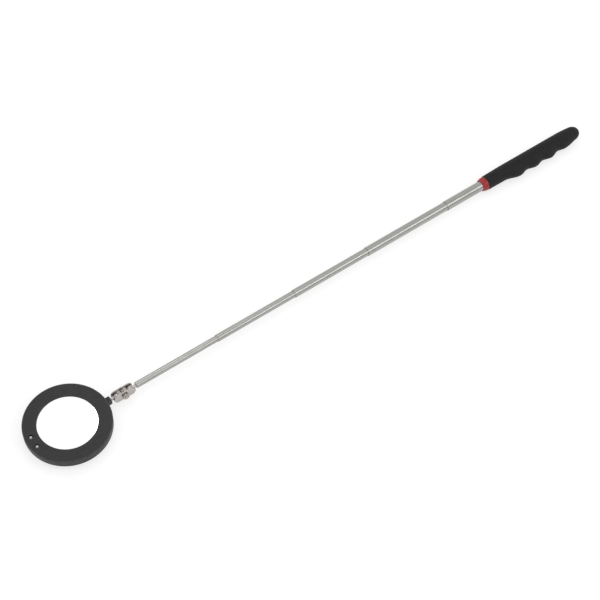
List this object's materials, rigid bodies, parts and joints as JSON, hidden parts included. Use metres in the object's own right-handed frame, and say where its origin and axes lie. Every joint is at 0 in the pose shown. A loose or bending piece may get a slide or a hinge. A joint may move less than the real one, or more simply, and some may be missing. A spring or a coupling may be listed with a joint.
{
  "type": "telescopic inspection mirror",
  "caption": "Round lit inspection mirror on a double-ball clamp at the end of a telescopic steel arm with a moulded finger grip.",
  "frame": {"origin": "under the middle of the whole length with the arm pulled out, at the lowest point of the grip", "axes": "+X along the arm from the head to the grip, +Z the way the mirror faces"},
  "size_m": [0.638, 0.0798, 0.016],
  "materials": {
    "head_plastic": "moulded black plastic with a fine texture",
    "grip_rubber": "matt moulded black rubber",
    "red_plastic": "moulded red plastic",
    "tube_steel": "satin drawn stainless steel",
    "plated_steel": "bright nickel plate on pressed steel",
    "zinc_steel": "pale zinc plate",
    "brass": "rolled brass strip",
    "mirror_glass": "silvered glass",
    "foam": "grey foam tape",
    "cell_steel": "nickelled steel can",
    "board_laminate": "green solder mask on glass laminate",
    "led_resin": "clear water-white resin",
    "red_insulation": "red wire insulation",
    "black_insulation": "black wire insulation"
  },
  "bodies": {
    "handle": {"grip": "grip_rubber", "grip_collar": "red_plastic", "tube_1": "tube_steel"},
    "section_2": {"tube_2": "tube_steel", "friction_sleeve_2": "brass"},
    "section_3": {"tube_3": "tube_steel", "friction_sleeve_3": "brass"},
    "section_4": {"tube_4": "tube_steel", "friction_sleeve_4": "brass"},
    "section_5": {"tube_5": "tube_steel", "friction_sleeve_5": "brass"},
    "arm_stud": {"arm_ball_stud": "plated_steel"},
    "clamp": {"clamp_plate_near": "plated_steel", "clamp_plate_far": "plated_steel", "clamp_screw": "zinc_steel", "clamp_nut": "zinc_steel"},
    "head_stud": {"head_ball_stud": "plated_steel"},
    "head": {"front_housing": "head_plastic", "mirror_glass": "mirror_glass", "mirror_pad": "foam", "back_cover": "head_plastic", "battery_door": "head_plastic", "stud_clip": "zinc_steel", "cover_screw_1": "zinc_steel", "cover_screw_2": "zinc_steel", "cover_screw_3": "zinc_steel", "cover_screw_4": "zinc_steel", "door_screw": "zinc_steel", "coin_cell_1": "cell_steel", "coin_cell_2": "cell_steel", "negative_contact": "plated_steel", "positive_contact": "plated_steel", "series_link": "plated_steel", "circuit_board": "board_laminate", "board_screw_1": "zinc_steel", "board_screw_2": "zinc_steel", "led_1": "led_resin", "led_2": "led_resin", "resistor": "head_plastic", "switch_body": "plated_steel", "wire_black": "black_insulation", "wire_red": "red_insulation"},
    "switch": {"switch_slider": "red_plastic"}
  },
  "joints": [
    {"name": "section_2_slide", "type": "slide", "parent": "handle", "child": "section_2", "axis": [1, 0, 0], "range_m": [0, 0.0938]},
    {"name": "section_3_slide", "type": "slide", "parent": "section_2", "child": "section_3", "axis": [1, 0, 0], "range_m": [0, 0.0822]},
    {"name": "section_4_slide", "type": "slide", "parent": "section_3", "child": "section_4", "axis": [1, 0, 0], "range_m": [0, 0.0836]},
    {"name": "section_5_slide", "type": "slide", "parent": "section_4", "child": "section_5", "axis": [1, 0, 0], "range_m": [0, 0.0841]},
    {"name": "arm_roll", "type": "hinge", "parent": "section_5", "child": "arm_stud", "pos_m": [-0.2152, 0, 0.008], "axis": [1, 0, 0], "continuous": true},
    {"name": "arm_swing", "type": "hinge", "parent": "arm_stud", "child": "clamp", "pos_m": [-0.2152, 0, 0.008], "axis": [0, -0.9816, 0.1908], "range_deg": [-70, 70]},
    {"name": "head_swing", "type": "hinge", "parent": "clamp", "child": "head_stud", "pos_m": [-0.2292, 0, 0.008], "axis": [0, -0.9816, 0.1908], "range_deg": [-70, 70]},
    {"name": "head_roll", "type": "hinge", "parent": "head_stud", "child": "head", "pos_m": [-0.2791, 0, 0.008], "axis": [1, 0, 0], "continuous": true},
    {"name": "switch_slide", "type": "slide", "parent": "head", "child": "switch", "axis": [0, 1, 0], "range_m": [0, 0.0025]}
  ]
}
